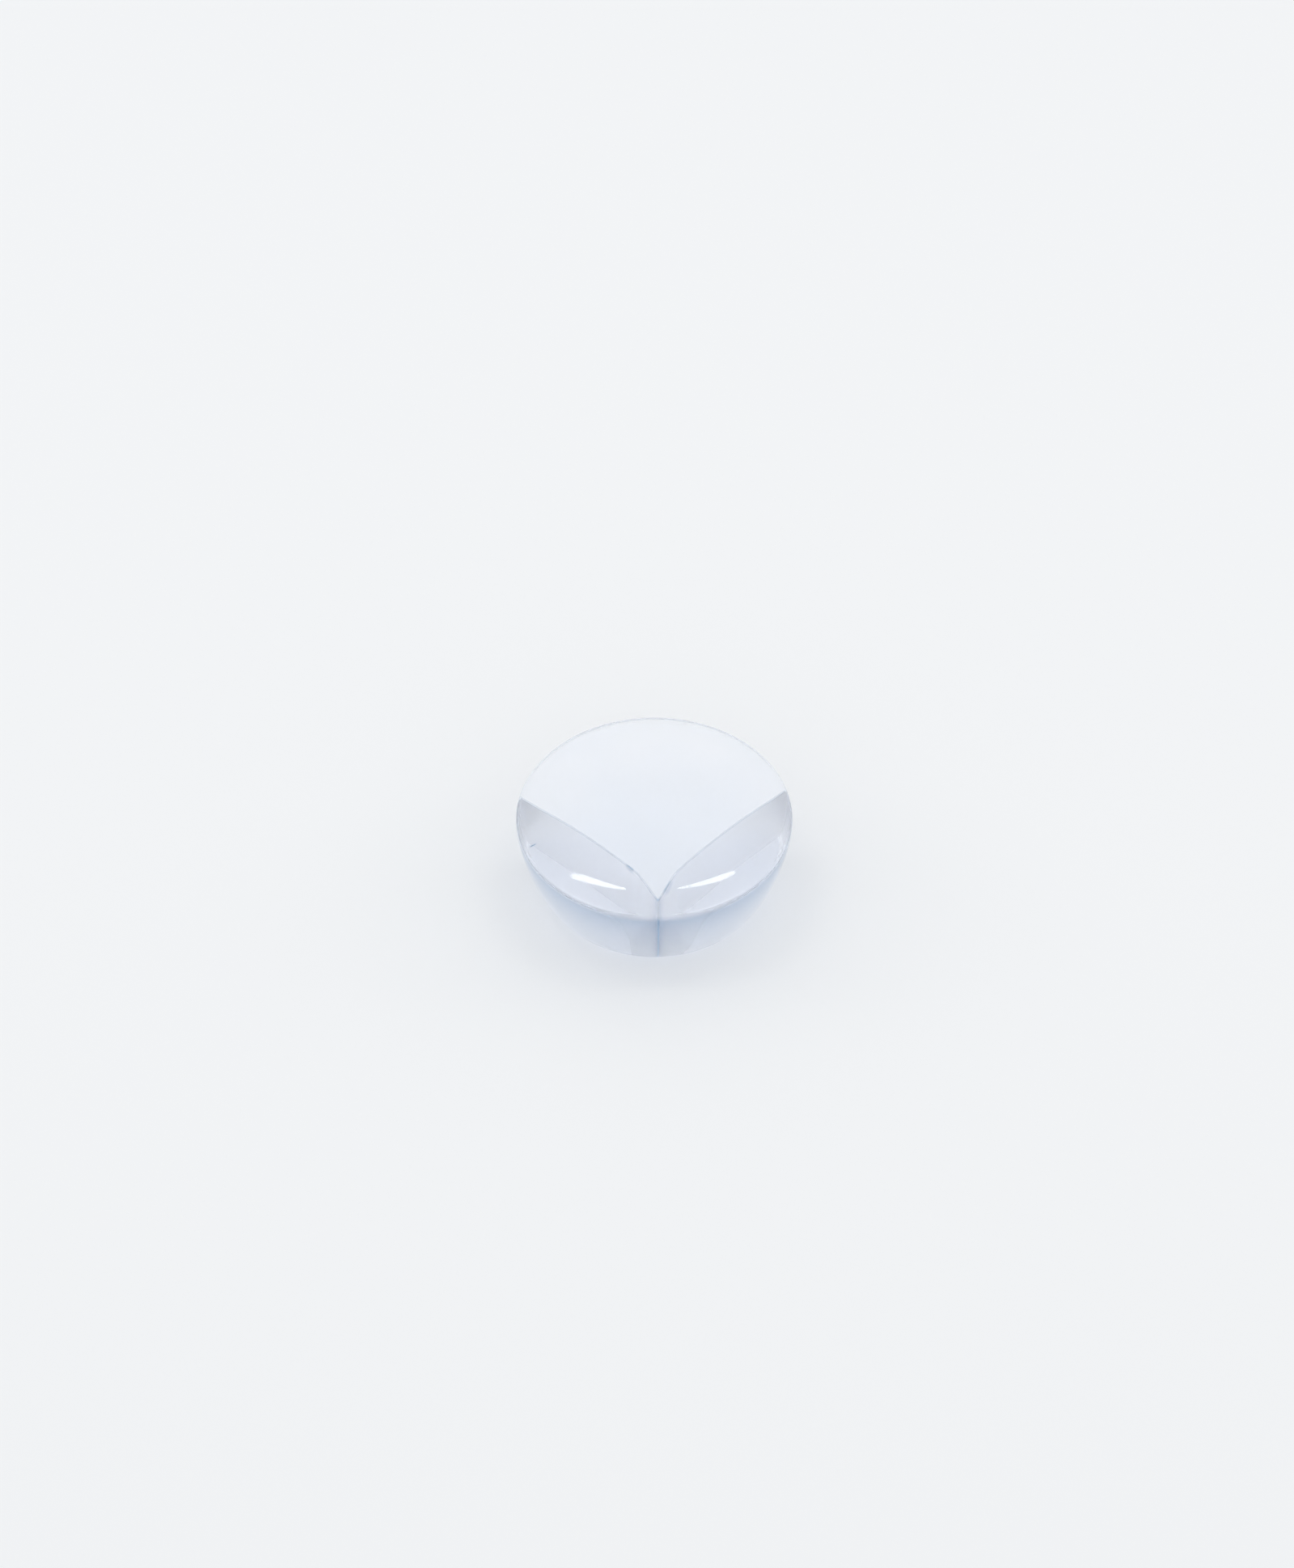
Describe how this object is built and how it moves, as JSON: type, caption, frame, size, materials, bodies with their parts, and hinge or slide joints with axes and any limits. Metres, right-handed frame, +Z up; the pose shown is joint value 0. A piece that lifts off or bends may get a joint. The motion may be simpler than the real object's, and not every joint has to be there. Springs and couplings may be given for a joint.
{
  "type": "furniture corner protector",
  "caption": "Clear soft guard for a table top's corner: round, with a low crown, a wall that draws in to a flat base, and a notch from below that takes the corner.",
  "frame": {"origin": "inner corner of the notch on its ceiling, where the top corner of the table top comes to rest", "axes": "+X and +Y run from that corner along the two edges of the table top, square to each other; +Z is up, out of the table top"},
  "size_m": [0.04, 0.04, 0.0155],
  "materials": {
    "clear_pvc": "clear soft PVC, glossy, with a faint lavender blue tint"
  },
  "bodies": {
    "root": {"corner_guard": "clear_pvc"}
  },
  "joints": []
}
